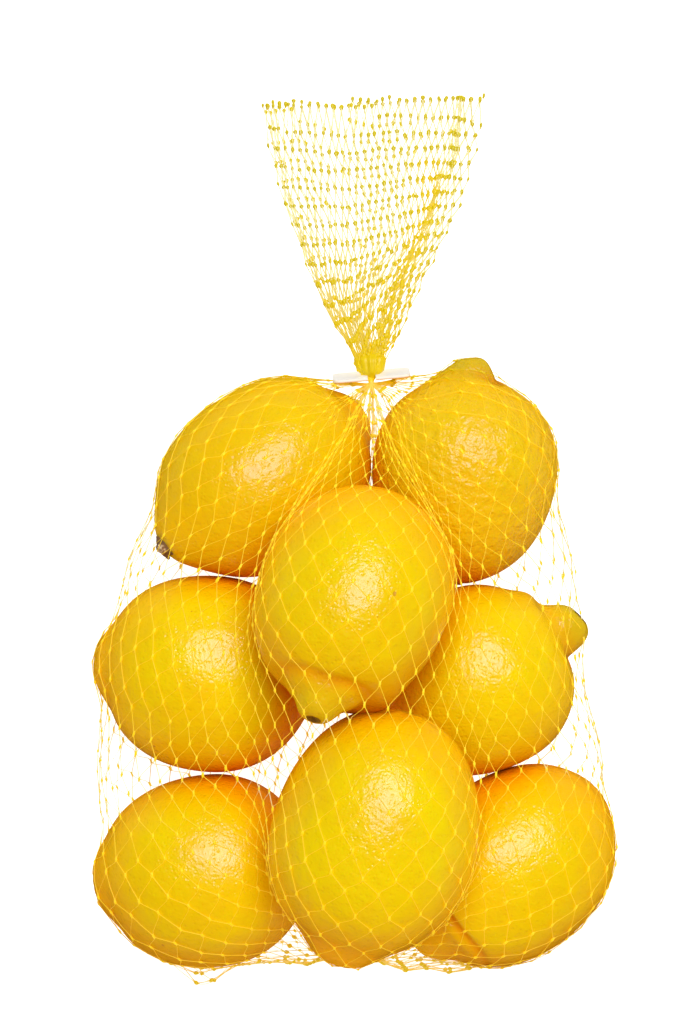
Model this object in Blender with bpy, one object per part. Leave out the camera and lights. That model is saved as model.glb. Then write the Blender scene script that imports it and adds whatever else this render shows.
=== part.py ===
"""A net of eight lemons lying on its back, as two solids: the filled net, and the clip on its neck.

Frame: +X across the net, +Y along it towards the gathered neck and the flared tail, +Z up from the table.
The origin is the centre of the bottom of the box round both solids. Sizes below are millimetres.
"""

import collections
import math

import bpy
import numpy as np

for old in list(bpy.data.objects):
    bpy.data.objects.remove(old, do_unlink=True)

MM = 0.001

# ---------------------------------------------------------------- the lemons
Fruit = collections.namedtuple("Fruit", "x y z heading tilt nose tail radius nipple scar")
# x, y: middle of the fruit. z: its height, or None for a fruit that lies on the table.
# heading: where the nipple points, degrees from +X towards +Y. tilt: how far the nipple looks up.
# nose / tail: middle to the nipple end / to the stem end, without the nipple and the scar's neck.
# radius: half the width. nipple, scar: how far each stands out.
LEMONS = {
    "top_left": Fruit(-22, 11.5, None, 37, 0, nose=32, tail=36, radius=28, nipple=4, scar=3.5),
    "top_right": Fruit(38, 12.5, None, 90, 3, nose=29, tail=33, radius=28.5, nipple=6, scar=2),
    "middle_left": Fruit(-40.5, -49.5, None, 174, -2, nose=33, tail=31.5, radius=30, nipple=3, scar=1),
    "middle_right": Fruit(43.5, -51, None, 32, 4, nose=27, tail=33, radius=28.5, nipple=8, scar=0.5),
    "bottom_left": Fruit(-40, -110, None, 186, -2, nose=34, tail=30, radius=29.5, nipple=2.5, scar=1),
    "bottom_right": Fruit(51, -110, None, 217, 0, nose=31.5, tail=36, radius=28, nipple=5.5, scar=2),
    "bottom_front": Fruit(9.5, -96, 66, -105, 0, nose=35, tail=38, radius=30, nipple=5.5, scar=0.5),
    "middle_front": Fruit(3.5, -26, 68, -116, 14, nose=34, tail=36, radius=28.5, nipple=5, scar=1),
}
BLUNTNESS = 2.15  # exponent of the outline: 2 is an ellipse
NIPPLE_SPREAD, SCAR_SPREAD = 0.30, 0.28  # radians round the axis
SINK = 0.8  # how far the soft fruit flattens on the table
NET_WALL = 0.4  # the net over the peel

# ---------------------------------------------------------------- the net
NECK = np.array([9.2, 40.0, 24.0])
FOOT = np.array([5.0, -141.0, 30.0])
COLUMNS, ROWS = 88, 46
WAIST_SHARE, SPREAD = 0.52, 34.0  # the rays start from a line: its middle as a share from neck to foot, half its length
NECK_POLAR = 0.045  # angle of the first ring of rays from the line to the neck
HOOP_PULL = 0.2  # pull round the net against pull along it
FOOT_PULL, FOOT_FROM, FOOT_FULL = 0.5, 2.0, 2.8  # the same over its closed bottom, between these polar angles
SINK_IN = 0.42  # how far the net sinks in between the fruit in each round, against its pull
SINK_FROM, SINK_FULL = -0.5, 0.1  # height of the rays where it starts to sink, and where it sinks fully
NO_SINK_FROM, NO_SINK_FULL = 2.3, 2.8  # polar angles between which the sinking stops, towards the foot
START, CORE = 60.0, 12.0  # distance of the net from where the rays start: at first, and at least
ROUNDS, LAST_ROUNDS = 1500, 3  # in the last ones it no longer sinks, so only its narrow creases pull straight
EASE, LONGEST_STEP, STEEPEST = 0.6, 1.5, 0.45  # how each round moves the net along its rays
NECK_HALF_WIDTH, NECK_HALF_DEPTH = 0.8, 3.0
REST_SNAP = 1.2  # the net lies flat on the table where it comes this near

# y, half width, half thickness, middle x of each section of the neck, the bunch above the clip and the tail
TAIL_SECTIONS = (
    (41.2, 0.8, 3.0, 9.2),
    (43.4, 0.8, 3.0, 9.2),
    (44.6, 2.9, 3.4, 9.2),
    (46.4, 4.1, 3.9, 9.2),
    (48.8, 4.4, 3.8, 8.8),
    (51.5, 6.0, 3.3, 8.0),
    (57.0, 9.5, 2.6, 7.8),
    (63.0, 12.6, 2.2, 8.1),
    (73.0, 17.6, 1.9, 8.4),
    (84.0, 22.2, 1.7, 9.1),
    (98.0, 28.2, 1.5, 9.9),
    (115.0, 32.8, 1.3, 10.1),
    (131.0, 35.2, 1.2, 10.1),
)
TAIL_COLUMNS = COLUMNS // 2
TAIL_DROOP_FROM = 50.0
RUFFLE_HEIGHT, RUFFLE_WAVES, RUFFLE_PHASE = 1.7, 2.6, 0.6
FLATTEN = 0.7  # exponent that squares off the flattened sections

# ---------------------------------------------------------------- the clip
CLIP_WIDTH, CLIP_DEPTH, CLIP_THICK, CLIP_CORNER = 24.0, 16.0, 1.0, 2.6
CLIP_MIDDLE = np.array([9.2, 42.3, 24.0])
CLIP_LEAN, CLIP_TURN = math.radians(11), math.radians(5)
SLOT_HALF_WIDTH, SLOT_FLOOR = 1.25, -3.7
CLEARANCE, CLIP_MARGIN = 0.7, 2.5  # between the net's shoulders and the clip, and how far past its edges
CORNER_STEPS, SLOT_STEPS = 5, 8
SHARP = math.radians(50)


def axes(heading, tilt):
    a, t = math.radians(heading), math.radians(tilt)
    along = np.array([math.cos(a) * math.cos(t), math.sin(a) * math.cos(t), math.sin(t)])
    side = np.cross([0.0, 0.0, 1.0], along)
    side /= np.linalg.norm(side)
    return np.stack([side, np.cross(along, side), along], axis=1)


def reach(angle, fruit, wall=0.0):
    """Middle of the fruit to its peel, at this angle from the nipple's axis."""
    c, s = np.cos(angle), np.sin(angle)
    half = np.where(c > 0, fruit.nose, fruit.tail)
    ends, sides = (np.abs(c) / half) ** BLUNTNESS, (np.abs(s) / fruit.radius) ** BLUNTNESS
    body = (ends + sides) ** (-1 / BLUNTNESS)
    nipple = fruit.nipple * np.exp(-((angle / NIPPLE_SPREAD) ** 3))
    scar = fruit.scar * np.exp(-(((math.pi - angle) / SCAR_SPREAD) ** 2))
    return body + nipple + scar + wall


def peel_points(fruit, rings=48, spokes=40):
    angles = np.linspace(0, math.pi, rings)
    turns = np.linspace(0, 2 * math.pi, spokes, endpoint=False)
    angle, turn = np.meshgrid(angles, turns, indexing="ij")
    r = reach(angle, fruit)
    side = r * np.sin(angle)
    local = np.stack([side * np.cos(turn), side * np.sin(turn), r * np.cos(angle)], axis=-1)
    return local.reshape(-1, 3) @ axes(fruit.heading, fruit.tilt).T


def middle_of(fruit):
    z = fruit.z
    if z is None:
        z = -peel_points(fruit)[:, 2].min() - SINK
    return np.array([fruit.x, fruit.y, z])


def farthest_hit(origin, rays, fruit, middle):
    """How far along each ray the fruit's peel last meets it, or 0 where the ray misses."""
    turned = axes(fruit.heading, fruit.tilt)
    start = (origin - middle) @ turned
    rays = rays @ turned

    def inside(t):
        p = start + rays * t[..., None]
        d = np.linalg.norm(p, axis=-1)
        angle = np.arccos(np.clip(p[..., 2] / np.maximum(d, 1e-9), -1, 1))
        return reach(angle, fruit, NET_WALL) - d

    steps = np.linspace(150, 1, 150)
    found = np.zeros(rays.shape[:-1])
    for t in steps:
        hit = (found == 0) & (inside(np.full(found.shape, t)) > 0)
        found[hit] = t
    low, high = found.copy(), found + 1.0
    for _ in range(12):
        middle_t = (low + high) / 2
        within = inside(middle_t) > 0
        low = np.where(within, middle_t, low)
        high = np.where(within, high, middle_t)
    return np.where(found > 0, low, 0.0)


def smooth(value, low, high):
    """0 up to low, 1 from high, with a soft step between."""
    t = np.clip((value - low) / (high - low), 0, 1)
    return t * t * (3 - 2 * t)


def clip_axes():
    across = np.array([math.cos(CLIP_TURN), math.sin(CLIP_TURN), 0.0])
    depth = np.array([0.0, -math.sin(CLIP_LEAN), math.cos(CLIP_LEAN)])
    depth -= across * depth.dot(across)
    depth /= np.linalg.norm(depth)
    return across, depth, np.cross(depth, across)  # the last looks towards the tail


def ring(middle, half_width, half_depth, count, ruffle=0.0):
    turn = np.arange(count) / count * 2 * math.pi
    x, z = np.cos(turn), np.sin(turn)
    wave = ruffle * np.sin(RUFFLE_WAVES * math.pi * x + RUFFLE_PHASE)
    z = np.sign(z) * np.abs(z) ** FLATTEN
    y = np.full(count, middle[1])
    return np.stack([middle[0] + half_width * x, y, middle[2] + half_depth * z + wave], axis=1)


def net_envelope():
    """The net drawn over the fruit, as a grid of points on rays from inside.

    It is pulled tight, sinks in between the fruit, and is held off by peel, table and clip.
    """
    waist = NECK + WAIST_SHARE * (FOOT - NECK)
    pole = (NECK - waist) / np.linalg.norm(NECK - waist)
    east = np.cross(pole, [0.0, 0.0, 1.0])
    east /= np.linalg.norm(east)
    up = np.cross(east, pole)
    turn = np.arange(COLUMNS) / COLUMNS * 2 * math.pi
    polar = np.linspace(NECK_POLAR, math.pi, ROWS + 1)[1:-1]
    outward = np.cos(turn)[:, None] * east + np.sin(turn)[:, None] * up
    rays = np.cos(polar)[:, None, None] * pole + np.sin(polar)[:, None, None] * outward
    start = waist + SPREAD * np.cos(polar)[:, None, None] * pole
    peel = np.zeros(rays.shape[:2])
    for fruit in LEMONS.values():
        peel = np.maximum(peel, farthest_hit(start, rays, fruit, middle_of(fruit)))
    table = np.where(rays[..., 2] < -1e-6, start[..., 2] / np.maximum(-rays[..., 2], 1e-6), 1e6)
    across, depth, out = clip_axes()
    below_clip = (CLIP_MIDDLE - start) @ out - CLIP_THICK / 2 - CLEARANCE
    reach_clip = below_clip / np.maximum(rays @ out, 1e-6)
    hit = start + rays * reach_clip[..., None] - CLIP_MIDDLE
    under = rays @ out > 0.2
    under &= np.abs(hit @ across) < CLIP_WIDTH / 2 + CLIP_MARGIN
    under &= np.abs(hit @ depth) < CLIP_DEPTH / 2 + CLIP_MARGIN
    ceiling = np.minimum(table, np.where(under, reach_clip, 1e6))
    neck_ring = ring(NECK, NECK_HALF_WIDTH, NECK_HALF_DEPTH, COLUMNS)

    hoop = HOOP_PULL + (FOOT_PULL - HOOP_PULL) * smooth(polar, FOOT_FROM, FOOT_FULL)[:, None, None]
    sink = SINK_IN * smooth(rays[..., 2], SINK_FROM, SINK_FULL)
    sink *= 1 - smooth(polar, NO_SINK_FROM, NO_SINK_FULL)[:, None]
    least = np.maximum(peel, CORE)
    r = np.minimum(np.maximum(peel, START), ceiling)
    for count in range(ROUNDS):
        points = start + rays * r[..., None]
        foot = np.broadcast_to(FOOT, (1, COLUMNS, 3))
        whole = np.concatenate([neck_ring[None], points, foot])
        ahead, behind = whole[2:], whole[:-2]
        left, right = np.roll(points, 1, axis=1), np.roll(points, -1, axis=1)
        mean = (ahead + behind + hoop * (left + right)) / (2 + 2 * hoop)
        normal = np.cross(right - left, ahead - behind)
        normal /= np.maximum(np.linalg.norm(normal, axis=-1, keepdims=True), 1e-9)
        facing = np.einsum("ijk,ijk->ij", normal, rays)
        facing = np.where(np.abs(facing) < STEEPEST, np.copysign(STEEPEST, facing), facing)
        step = np.einsum("ijk,ijk->ij", mean - points, normal) / facing
        step = np.clip(EASE * step, -LONGEST_STEP, LONGEST_STEP)
        if count < ROUNDS - LAST_ROUNDS:
            step = step - sink
        r = np.minimum(np.maximum(r + step, least), ceiling)
    points = start + rays * r[..., None]
    points[..., 2] = np.where(points[..., 2] < REST_SNAP, 0.0, points[..., 2])
    return neck_ring, points, FOOT


def droop(y):
    t = np.clip((y - TAIL_DROOP_FROM) / (TAIL_SECTIONS[-1][0] - TAIL_DROOP_FROM), 0, 1)
    return (1 + math.cos(math.pi * t)) / 2, t


def tail_rings():
    rings = []
    low = TAIL_SECTIONS[-1][2] + RUFFLE_HEIGHT
    for y, half_width, half_depth, x in TAIL_SECTIONS:
        fall, t = droop(y)
        z = low + (NECK[2] - low) * fall
        section = ring((x, y, z), half_width, half_depth, TAIL_COLUMNS, RUFFLE_HEIGHT * t)
        section[:, 2] = np.maximum(section[:, 2], 0.0)
        rings.append(section)
    return rings


def plain_material(name, colour, roughness):
    material = bpy.data.materials.new(name)
    material.use_nodes = True
    shader = material.node_tree.nodes["Principled BSDF"]
    shader.inputs["Base Color"].default_value = (*colour, 1.0)
    shader.inputs["Roughness"].default_value = roughness
    shader.inputs["Metallic"].default_value = 0.0
    return material


def add_object(name, vertices, faces, shift, material):
    mesh = bpy.data.meshes.new(name)
    mesh.from_pydata(((np.asarray(vertices) - shift) * MM).tolist(), [], faces)
    mesh.validate()
    mesh.materials.append(material)
    mesh.shade_smooth()
    mesh.set_sharp_from_angle(angle=SHARP)
    mesh.update()
    bpy.context.scene.collection.objects.link(bpy.data.objects.new(name, mesh))


def filled_net():
    neck_ring, points, foot = net_envelope()
    vertices = np.concatenate([neck_ring, points.reshape(-1, 3), foot[None]])
    faces = []
    n = COLUMNS
    for row in range(len(points)):
        for c in range(n):
            a, b = row * n + c, row * n + (c + 1) % n
            faces.append((a, b, b + n, a + n))
    last = len(points) * n
    faces += [(last + c, last + (c + 1) % n, len(vertices) - 1) for c in range(n)]
    # from the neck outwards the rings have half as many points
    base, m = len(vertices), TAIL_COLUMNS
    rings = tail_rings()
    vertices = np.concatenate([vertices, *rings])
    for k in range(m):
        a, b, c = 2 * k, 2 * k + 1, (2 * k + 2) % n
        p, q = base + k, base + (k + 1) % m
        faces += [(b, a, p), (b, p, q), (c, b, q)]
    for row in range(len(rings) - 1):
        for k in range(m):
            a, b = base + row * m + k, base + row * m + (k + 1) % m
            faces.append((b, a, a + m, b + m))
    end = base + (len(rings) - 1) * m
    for k in range(1, m // 2 - 1):
        faces.append((end + k + 1, end + k, end + m - k, end + m - k - 1))
    faces += [(end + 1, end, end + m - 1), (end + m // 2, end + m // 2 - 1, end + m // 2 + 1)]
    return vertices, faces


def arc(x, y, radius, first, last, steps):
    """Points on an arc about (x, y) between two angles."""
    angles = [first + (last - first) * i / steps for i in range(steps + 1)]
    return [(x + radius * math.cos(a), y + radius * math.sin(a)) for a in angles]


def clip_plate():
    """A flat plate with rounded corners and a slot open to the front, where the neck was slid in."""
    w, d, k, s = CLIP_WIDTH / 2, CLIP_DEPTH / 2, CLIP_CORNER, SLOT_HALF_WIDTH
    quarter, half = math.pi / 2, math.pi
    outline = [(-s, d)] + arc(0, SLOT_FLOOR, s, half, 2 * half, SLOT_STEPS) + [(s, d)]
    outline += arc(w - k, d - k, k, quarter, 0, CORNER_STEPS)
    outline += arc(w - k, k - d, k, 0, -quarter, CORNER_STEPS)
    outline += arc(k - w, k - d, k, -quarter, -half, CORNER_STEPS)
    outline += arc(k - w, d - k, k, half, quarter, CORNER_STEPS)
    across, depth, out = clip_axes()
    plane = np.array([CLIP_MIDDLE + across * x + depth * y for x, y in outline])
    count = len(outline)
    vertices = np.concatenate([plane - out * CLIP_THICK / 2, plane + out * CLIP_THICK / 2])
    faces = [tuple(range(count)), tuple(range(2 * count - 1, count - 1, -1))]
    faces += [((i + 1) % count, i, i + count, (i + 1) % count + count) for i in range(count)]
    return vertices, faces


def signed_volume(vertices, faces):
    total = 0.0
    for face in faces:
        a = vertices[face[0]]
        for b, c in zip(face[1:-1], face[2:]):
            total += np.dot(a, np.cross(vertices[b], vertices[c])) / 6
    return total


SOLIDS = {
    "lemon_net": (filled_net, plain_material("lemon_peel", (0.90, 0.56, 0.02), 0.42)),
    "neck_clip": (clip_plate, plain_material("clip", (0.86, 0.84, 0.82), 0.30)),
}
made = {name: (*shape(), material) for name, (shape, material) in SOLIDS.items()}
everything = np.concatenate([vertices for vertices, _, _ in made.values()])
low, high = everything.min(axis=0), everything.max(axis=0)
bottom_centre = np.array([(low[0] + high[0]) / 2, (low[1] + high[1]) / 2, low[2]])
for name, (vertices, faces, material) in made.items():
    if signed_volume(vertices, faces) < 0:
        faces = [tuple(reversed(face)) for face in faces]
    add_object(name, vertices, faces, bottom_centre, material)
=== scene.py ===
"""The dressed net of lemons: eight lemons with their peel, the knotted net drawn over them, its tail, the
gathered bunch at the neck and the plastic clip, on a white table under a soft light.

Lengths in the code are millimetres in the camera's own axes: x = 0 and y = 0 lie under the camera, +Y runs
towards the tail, and z = 0 is the table. `place` turns them into metres in the frame of the solids.
"""

import math
from typing import NamedTuple

import bpy
import numpy as np
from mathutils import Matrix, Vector
from mathutils.bvhtree import BVHTree


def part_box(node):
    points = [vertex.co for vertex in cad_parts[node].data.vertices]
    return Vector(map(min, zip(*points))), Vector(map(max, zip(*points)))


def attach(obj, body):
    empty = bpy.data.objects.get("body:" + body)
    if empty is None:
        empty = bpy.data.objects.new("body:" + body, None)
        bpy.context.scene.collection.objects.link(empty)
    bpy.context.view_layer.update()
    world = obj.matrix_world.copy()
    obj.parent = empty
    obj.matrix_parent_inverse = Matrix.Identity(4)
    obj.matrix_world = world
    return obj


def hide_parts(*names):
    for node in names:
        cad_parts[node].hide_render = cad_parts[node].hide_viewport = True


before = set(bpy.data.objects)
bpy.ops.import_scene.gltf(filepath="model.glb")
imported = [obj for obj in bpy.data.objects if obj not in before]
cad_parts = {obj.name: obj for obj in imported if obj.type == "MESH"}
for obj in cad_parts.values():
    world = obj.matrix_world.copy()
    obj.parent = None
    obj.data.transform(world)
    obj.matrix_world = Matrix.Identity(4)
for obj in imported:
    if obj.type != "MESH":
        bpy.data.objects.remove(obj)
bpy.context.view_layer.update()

MM = 0.001
FULL_TURN = 2 * math.pi
CLIP_MIDDLE = np.array([9.2, 42.3, 24.0])
clip_low, clip_high = (np.array(corner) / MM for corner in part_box("neck_clip"))
SHIFT = CLIP_MIDDLE - (clip_low + clip_high) / 2
SHIFT[2] = 0.0


def place(points):
    return (np.asarray(points, float) - SHIFT) * MM


def turns(count):
    """Even angles round a full turn."""
    return np.arange(count) / count * FULL_TURN


def unit(vectors):
    return vectors / np.maximum(np.linalg.norm(vectors, axis=-1, keepdims=True), 1e-9)


def add_object(name, data):
    made = bpy.data.objects.new(name, data)
    bpy.context.scene.collection.objects.link(made)
    return made


# ------ the lemons
class Fruit(NamedTuple):
    """One lemon's form. Its nipple points along heading and tilt, in degrees."""

    x: float
    y: float
    z: float | None  # None for a lemon that lies on the table
    heading: float
    tilt: float
    nose: float  # from the middle to the nipple's end, without its swelling
    tail: float  # and to the stem's end
    radius: float
    nipple: float  # how far the two ends swell out
    scar: float


LEMONS = {
    "top_left": Fruit(-22, 11.5, None, 35, -18, nose=32, tail=37, radius=28, nipple=4, scar=5),
    "top_right": Fruit(38, 12.5, None, 87, 9, nose=29, tail=33, radius=28.5, nipple=5, scar=2),
    "middle_left": Fruit(-40.5, -49.5, None, 174, -2, nose=33, tail=31.5, radius=30, nipple=3, scar=1),
    "middle_right": Fruit(43.5, -51, None, 32, 4, nose=27, tail=33, radius=28.5, nipple=6.6, scar=0.5),
    "bottom_left": Fruit(-40, -110, None, 186, -2, nose=34, tail=30, radius=29.5, nipple=2.5, scar=1),
    "bottom_right": Fruit(51, -110, None, 217, 10, nose=31.5, tail=36, radius=28, nipple=5.5, scar=2),
    "bottom_front": Fruit(9.5, -96, 66, -106, 0, nose=35, tail=38, radius=30, nipple=4.0, scar=0.5),
    "middle_front": Fruit(3.5, -26, 68, -109, 26, nose=32, tail=35, radius=28.5, nipple=3.4, scar=1),
}
BLUNTNESS = 2.15  # exponent of the outline, where 2 makes an ellipse
NIPPLE_SPREAD, SCAR_SPREAD = 0.30, 0.28
# A lemon on the table first reaches SINK under it. Then peel below FLAT_BELOW keeps a share of its depth.
SINK, FLAT_BELOW, FLATTENED = 0.8, 0.6, 0.25
PEEL_RINGS, PEEL_SPOKES = 150, 150


class Peel(NamedTuple):
    """What a lemon's peel shows beyond its form. Angles are radians from the nipple, turns degrees."""

    crease: float = 0.4  # depth of the furrow round the nipple
    crease_angle: float = 0.45
    crease_width: float = 0.10
    crease_at: float = 0  # the turn where it is deepest
    knob: float = 0.0  # how far the nipple's knob stands out
    spread: float = 0.2  # the knob's width
    shoulder: float = 0.0  # height of a swelling beside the nipple
    shoulder_angle: float = 0.5
    shoulder_at: float = 0
    green: float = 0.1  # how green the nipple is
    tip: float = 1.4  # radius of the brown scar on the nipple
    warm: float = 0.0  # how far its yellow leans to orange, or below 0 to pale
    matt: float = 0.0  # added roughness
    uneven: float = 0.0  # how much stronger its low bumps are
    limb_shade: float = 1.0  # strength of the painted orange shade on its lower edge
    contact_shade: float = 1.0  # strength of the painted orange shade and bounce light beside other lemons
    under_shade: float = 0.0  # strength of the painted brown shade low down, away from the softbox


PEELS = {
    "top_left": Peel(warm=0.58, matt=0.03, limb_shade=0.3, contact_shade=0.65),
    "top_right": Peel(
        crease=1.7, crease_angle=0.25, crease_width=0.08, crease_at=180, knob=1.3, spread=0.16,
        shoulder=1.2, shoulder_angle=0.36, green=1.0, tip=0.8, warm=0.52, matt=0.09, uneven=1.5, limb_shade=0.5,
        contact_shade=0.65,
    ),
    "middle_left": Peel(contact_shade=1.35),
    "middle_right": Peel(
        crease=3.2, crease_angle=0.32, crease_width=0.09, crease_at=195, knob=1.9, spread=0.235,
        shoulder=2.2, shoulder_at=15, green=0.9, tip=2.6, warm=0.10, limb_shade=0.75,
    ),
    "bottom_left": Peel(warm=0.20, contact_shade=0.72, under_shade=0.5),
    "bottom_right": Peel(
        crease=1.3, crease_angle=0.64, crease_width=0.045, crease_at=100, tip=1.8, warm=0.08, contact_shade=0.65,
        under_shade=0.85,
    ),
    "bottom_front": Peel(
        crease=0.5, crease_angle=0.44, crease_at=200, green=0.0, warm=-0.03, contact_shade=0.7, under_shade=0.3
    ),
    "middle_front": Peel(
        crease=1.1, crease_angle=0.38, crease_width=0.07, crease_at=80, knob=4.0, spread=0.17, shoulder=2.4,
        shoulder_angle=0.64, shoulder_at=320, green=0.55, tip=2.3, warm=0.22, contact_shade=0.75, under_shade=0.8,
    ),
}
SHOULDER_WIDTH = 0.17
LUMP_COUNT, LUMP_HEIGHT = 7, 0.17
RIB_HEIGHT, STEM_RAY_HEIGHT = 0.10, 0.16
TIP_PIT, STEM_DISH = (0.8, 0.035), (0.7, 0.09)  # depth, and width in radians
LIMB_SHADE = 0.85  # painted orange shade on peel that turns away from above, where only its neighbours light it
NEAR_FADE = 3.0  # gap to another lemon at which the painted orange shade between them has faded to a third


def axes(heading, tilt):
    """Columns: side, cross and along, where along runs from the middle to the nipple."""
    a, t = math.radians(heading), math.radians(tilt)
    along = np.array([math.cos(a) * math.cos(t), math.sin(a) * math.cos(t), math.sin(t)])
    side = np.cross([0.0, 0.0, 1.0], along)
    side /= np.linalg.norm(side)
    return np.stack([side, np.cross(along, side), along], axis=1)


def reach(angle, fruit):
    """Middle of the fruit to its peel, at this angle from the nipple's axis."""
    c, s = np.cos(angle), np.sin(angle)
    half = np.where(c > 0, fruit.nose, fruit.tail)
    body = ((np.abs(c) / half) ** BLUNTNESS + (np.abs(s) / fruit.radius) ** BLUNTNESS) ** (-1 / BLUNTNESS)
    nipple = fruit.nipple * np.exp(-((angle / NIPPLE_SPREAD) ** 3))
    scar = fruit.scar * np.exp(-(((math.pi - angle) / SCAR_SPREAD) ** 2))
    return body + nipple + scar


def knob_and_shoulder(angle, turn, peel):
    beside = 0.5 + 0.5 * np.cos(turn - math.radians(peel.shoulder_at))
    shoulder = peel.shoulder * np.exp(-(((angle - peel.shoulder_angle) / SHOULDER_WIDTH) ** 2)) * beside**2
    return peel.knob * np.exp(-((angle / peel.spread) ** 4)) + shoulder


def lumps(directions, seed):
    """Low swellings of the peel, at unit directions in the fruit's own axes."""
    chance = np.random.default_rng(seed)
    total = np.zeros(directions.shape[:-1])
    for _ in range(LUMP_COUNT):
        wave = chance.normal(size=3)
        wave *= chance.uniform(2.5, 5.5) / np.linalg.norm(wave)
        total += LUMP_HEIGHT * np.sin(directions @ wave + chance.uniform(0, FULL_TURN))
    return total


def middle_of(fruit):
    if fruit.z is not None:
        return np.array([fruit.x, fruit.y, fruit.z])
    angle, turn = np.meshgrid(np.linspace(0, math.pi, 48), np.linspace(0, FULL_TURN, 40), indexing="ij")
    r = reach(angle, fruit)
    across = r * np.sin(angle)
    local = np.stack([across * np.cos(turn), across * np.sin(turn), r * np.cos(angle)], -1)
    lowest = (local.reshape(-1, 3) @ axes(fruit.heading, fruit.tilt).T)[:, 2].min()
    return np.array([fruit.x, fruit.y, -lowest - SINK])


MIDDLES = {name: middle_of(fruit) for name, fruit in LEMONS.items()}
AXES = {name: axes(fruit.heading, fruit.tilt) for name, fruit in LEMONS.items()}
SEEDS = {name: 11 + i for i, name in enumerate(LEMONS)}
RIB_SEED = 100


def mesh_object(name, vertices, faces, material, attributes):
    """vertices: (n, 3) in the camera's axes. faces: (m, 4) indices. attributes: name -> n values."""
    mesh = bpy.data.meshes.new(name)
    faces = np.asarray(faces, np.int32)
    mesh.vertices.add(len(vertices))
    mesh.vertices.foreach_set("co", place(vertices).ravel())
    mesh.loops.add(faces.size)
    mesh.loops.foreach_set("vertex_index", faces.ravel())
    mesh.polygons.add(len(faces))
    mesh.polygons.foreach_set("loop_start", np.arange(len(faces), dtype=np.int32) * faces.shape[1])
    mesh.update(calc_edges=True)
    mesh.validate()
    mesh.shade_smooth()
    for key, values in attributes.items():
        layer = mesh.attributes.new(key, "FLOAT", "POINT")
        layer.data.foreach_set("value", np.asarray(values, np.float32))
    mesh.materials.append(material)
    return add_object(name, mesh)


def grid_faces(rows, columns):
    """Quads of a grid that closes on itself round each row."""
    row, column = np.meshgrid(np.arange(rows - 1), np.arange(columns), indexing="ij")
    right = (column + 1) % columns
    a, b = row * columns + column, row * columns + right
    return np.stack([a, a + columns, b + columns, b], -1).reshape(-1, 4)


def grid_normals(points):
    """Outward normals of a closed surface given as rings of points."""
    down = np.gradient(points, axis=0)
    around = np.roll(points, -1, axis=1) - np.roll(points, 1, axis=1)
    return unit(np.cross(down, around))


def height_over(points, name):
    """How far points lie outside a lemon's smooth form, along the line from its middle."""
    local = (points - MIDDLES[name]) @ AXES[name]
    far = np.linalg.norm(local, axis=1)
    return far - reach(np.arccos(np.clip(local[:, 2] / far, -1, 1)), LEMONS[name])


def nearness(points, name):
    """0 to 1: how close each point is to another lemon, which sets painted orange shade and bounce light."""
    close = np.zeros(len(points))
    for other in LEMONS:
        if other != name:
            close = np.maximum(close, np.exp(-np.maximum(height_over(points, other), 0) / NEAR_FADE))
    return close


def bounce(points, normals, name):
    """0 to 1: how far what each point looks out on is other lemons, which sets painted orange shade and
    bounce light.
    """
    total = np.zeros(len(points))
    for other, fruit in LEMONS.items():
        if other == name:
            continue
        towards = MIDDLES[other] - points
        far = np.linalg.norm(towards, axis=1)
        facing = (normals * towards).sum(axis=1) / far
        total += (fruit.radius / np.maximum(far, fruit.radius)) ** 2 * np.clip((facing + 0.3) / 1.3, 0, 1)
    return np.clip((total - 0.60) / 0.55, 0, 1)


def peel_form(name, angle, turn, directions):
    """How far the peel is from the fruit's middle, and how deep in the nipple's furrow it lies, 0 to 1."""
    fruit, peel = LEMONS[name], PEELS[name]
    r = reach(angle, fruit) + lumps(directions, SEEDS[name])
    # shallow ribs from end to end
    chance = np.random.default_rng(RIB_SEED + SEEDS[name])
    ribs = np.cos(9 * turn + chance.uniform(0, 6)) + 0.6 * np.cos(5 * turn + chance.uniform(0, 6))
    r += RIB_HEIGHT * ribs * np.sin(angle) ** 0.5 * (0.4 + np.exp(-((angle - 0.5) / 0.5) ** 2))
    # the furrow round the nipple, deep on one side, with a low swelling inside it
    side = 0.5 + 0.5 * np.cos(turn - math.radians(peel.crease_at))
    wander = 0.03 * np.sin(2 * turn + 1.3) + 0.02 * np.sin(3 * turn)
    off = (angle - peel.crease_angle - wander) / peel.crease_width
    furrow = np.exp(-(off**2)) * (0.12 + 0.88 * side**2)
    swell = np.exp(-((off + 2.0) ** 2) / 2) * side
    r += peel.crease * (0.35 * swell - furrow) + knob_and_shoulder(angle, turn, peel)
    # the tip's small pit, and the rayed dish round the stem
    from_stem = math.pi - angle
    r -= TIP_PIT[0] * np.exp(-((angle / TIP_PIT[1]) ** 2))
    r -= STEM_DISH[0] * np.exp(-((from_stem / STEM_DISH[1]) ** 2))
    rays = 1 + 0.5 * np.cos(10 * turn + 0.7 * np.sin(3 * turn))
    r -= STEM_RAY_HEIGHT * rays * np.exp(-(((from_stem - 0.2) / 0.10) ** 2))
    return r, furrow


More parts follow.
